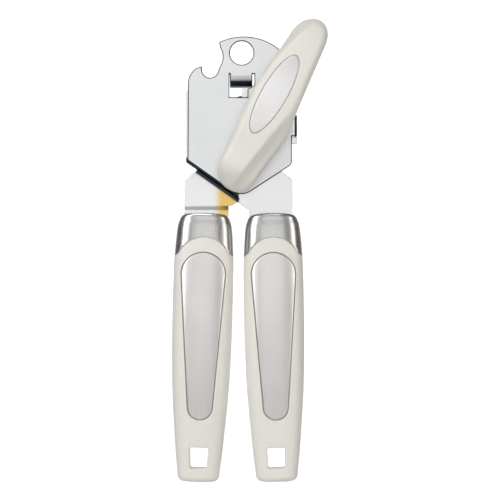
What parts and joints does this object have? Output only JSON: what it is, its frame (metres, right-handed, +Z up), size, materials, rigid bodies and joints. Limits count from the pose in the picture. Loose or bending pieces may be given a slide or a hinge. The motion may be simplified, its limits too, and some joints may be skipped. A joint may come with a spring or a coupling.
{
  "type": "manual can opener",
  "caption": "Hand-held can opener with two moulded handles on crossed steel levers, a large turning knob, a cutting wheel, a toothed feed wheel and a crown-cap notch.",
  "frame": {"origin": "centre of the round hanging hole, at the front face of the head plate", "axes": "+Z up from the grips to the hanging hole, +X to the right of somebody facing the turning knob, +Y through the plates to the back where the cutter is"},
  "size_m": [0.0708, 0.0377, 0.2103],
  "materials": {
    "polished_steel": "polished stainless sheet, mirror-like with soft rolled edges",
    "brushed_ferrule": "stainless brushed along the handle",
    "satin_inlay": "satin stainless sheet with fine scratches",
    "cream_plastic": "cream moulded plastic, soft satin gloss",
    "bright_steel": "turned bright steel",
    "hard_steel": "ground hardened steel"
  },
  "bodies": {
    "head": {"front_plate": "polished_steel", "left_lever": "polished_steel", "pivot_rivet": "bright_steel", "pivot_washer": "bright_steel", "shaft_bushing": "bright_steel", "left_ferrule": "brushed_ferrule", "left_grip": "cream_plastic", "left_inlay": "satin_inlay", "left_tang_screws": "bright_steel"},
    "right_handle": {"right_lever": "polished_steel", "right_ferrule": "brushed_ferrule", "right_grip": "cream_plastic", "right_inlay": "satin_inlay", "right_tang_screws": "bright_steel", "cutter_stud": "bright_steel", "cutter_washer": "bright_steel"},
    "drive": {"drive_shaft": "bright_steel", "thrust_washer": "bright_steel", "feed_wheel": "hard_steel", "feed_nut": "bright_steel", "knob": "cream_plastic", "knob_badge": "satin_inlay", "knob_screw": "bright_steel"},
    "cutter": {"cutter_wheel": "hard_steel"}
  },
  "joints": [
    {"name": "handle_hinge", "type": "hinge", "parent": "head", "child": "right_handle", "pos_m": [-0.0005, 0.00235, -0.0565], "axis": [0, -1, 0], "range_deg": [0, 40]},
    {"name": "knob_spin", "type": "hinge", "parent": "head", "child": "drive", "pos_m": [0.0156, 0, -0.025], "axis": [0, -1, 0], "continuous": true},
    {"name": "cutter_spin", "type": "hinge", "parent": "right_handle", "child": "cutter", "pos_m": [0.0006, 0.0095, -0.027], "axis": [0, -1, 0], "continuous": true}
  ]
}
